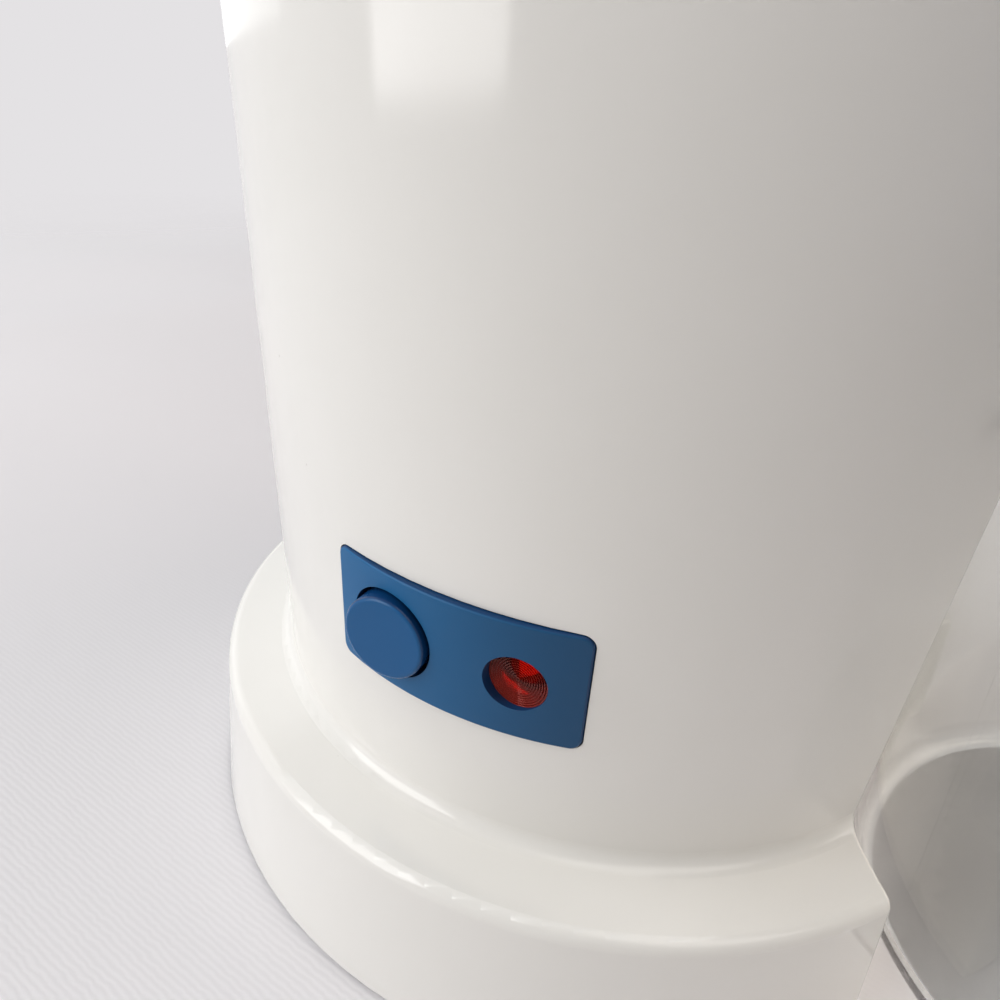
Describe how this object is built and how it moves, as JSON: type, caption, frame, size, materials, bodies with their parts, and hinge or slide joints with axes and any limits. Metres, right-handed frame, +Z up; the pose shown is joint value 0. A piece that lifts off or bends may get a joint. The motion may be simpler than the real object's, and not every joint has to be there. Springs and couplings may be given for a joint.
{
  "type": "iced tea maker",
  "caption": "Countertop iced tea maker: a round white tower with water tank, heater, blue push button and red lamp, and a clear pitcher with a steeping basket standing in its nest.",
  "frame": {"origin": "middle of the object's footprint, on the surface it stands on", "axes": "+Z up; +X from the tower towards the pitcher; the control panel faces -Y"},
  "size_m": [0.3314, 0.1826, 0.296],
  "materials": {
    "white_abs": "high gloss moulded ABS",
    "base_plastic": "satin moulded polypropylene",
    "screw_steel": "zinc plated",
    "rubber": "matt",
    "blue_plastic": "satin moulded ABS",
    "blue_button": "semi-gloss moulded ABS",
    "red_lens": "ringed translucent acrylic",
    "black_plastic": "moulded nylon",
    "black_plastic_gland": "flexible moulded PVC",
    "lamp_glass": "clear",
    "spring_steel": "drawn wire and strip",
    "heater_aluminium": "extruded",
    "tube_aluminium": "drawn",
    "element_steel": "sheathed",
    "zinc_steel": "zinc plated sheet",
    "black_phenolic": "moulded phenolic",
    "fuse_tin": "tinned",
    "fuse_glass_sleeve": "woven glass sleeve",
    "tank_plastic": "natural polypropylene",
    "silicone": "translucent silicone",
    "valve_plastic": "moulded acetal",
    "valve_ball_steel": "polished",
    "pin_steel": "ground",
    "clear_san": "clear moulded SAN",
    "clear_san_handle": "clear moulded SAN",
    "blue_plastic_basket": "gloss moulded polypropylene",
    "white_acetal": "moulded acetal",
    "steel_mesh": "perforated stainless",
    "white_nylon": "moulded nylon",
    "lead_insulation": "silicone insulation"
  },
  "bodies": {
    "machine": {"housing": "white_abs", "nest_panel": "white_abs", "top_cover": "white_abs", "spout": "white_abs", "base_plate": "base_plastic", "base_screws": "screw_steel", "feet": "rubber", "control_panel": "blue_plastic", "indicator_lens": "red_lens", "lamp_holder": "black_plastic", "neon_lamp": "lamp_glass", "power_switch": "black_plastic", "switch_bracket": "base_plastic", "bracket_screws": "screw_steel", "button_spring": "spring_steel", "heater_bar": "heater_aluminium", "water_tube": "tube_aluminium", "heating_element": "element_steel", "heater_bracket": "zinc_steel", "heater_straps": "zinc_steel", "strap_screws": "screw_steel", "thermostat": "black_phenolic", "thermal_fuse": "fuse_tin", "fuse_sleeve": "fuse_glass_sleeve", "water_tank": "tank_plastic", "tank_grommet": "silicone", "riser_tube": "tank_plastic", "inlet_hose": "silicone", "riser_hose": "silicone", "hose_clamps": "spring_steel", "check_valve": "valve_plastic", "spout_seal": "silicone", "lid_hinge_pins": "pin_steel", "cord_gland": "black_plastic_gland", "terminal_block": "white_nylon", "inner_leads": "lead_insulation"},
    "tank_lid": {"tank_lid": "white_abs"},
    "push_button": {"push_button": "blue_button"},
    "valve_ball": {"valve_ball": "valve_ball_steel"},
    "pitcher": {"pitcher": "clear_san", "pitcher_handle": "clear_san_handle", "steeping_basket": "blue_plastic_basket", "filter_screen": "steel_mesh", "basket_hinge_pin": "pin_steel"},
    "basket_lid": {"basket_lid": "blue_plastic_basket"},
    "strength_dial": {"strength_dial": "white_acetal"}
  },
  "joints": [
    {"name": "tank_lid_hinge", "type": "hinge", "parent": "machine", "child": "tank_lid", "pos_m": [-0.09234, 0.0615, 0.2932], "axis": [-1, 0, 0], "range_deg": [0, 100]},
    {"name": "push_button_slide", "type": "slide", "parent": "machine", "child": "push_button", "axis": [0, 1, 0], "range_m": [0, 0.0025], "stiffness_N_per_m": 600, "springref_m": -0.001, "deforming": ["button_spring"]},
    {"name": "valve_ball_lift", "type": "slide", "parent": "machine", "child": "valve_ball", "axis": [0, 0, 1], "range_m": [0, 0.002]},
    {"name": "pitcher_slide", "type": "slide", "parent": "machine", "child": "pitcher", "axis": [1, 0, 0], "range_m": [0, 0.16]},
    {"name": "basket_lid_hinge", "type": "hinge", "parent": "pitcher", "child": "basket_lid", "pos_m": [0.13017, 0, 0.2222], "axis": [0, 1, 0], "range_deg": [0, 100]},
    {"name": "strength_turn", "type": "hinge", "parent": "pitcher", "child": "strength_dial", "pos_m": [0.05566, 0, 0.1513], "axis": [0, 0, 1], "range_deg": [0, 30]}
  ]
}
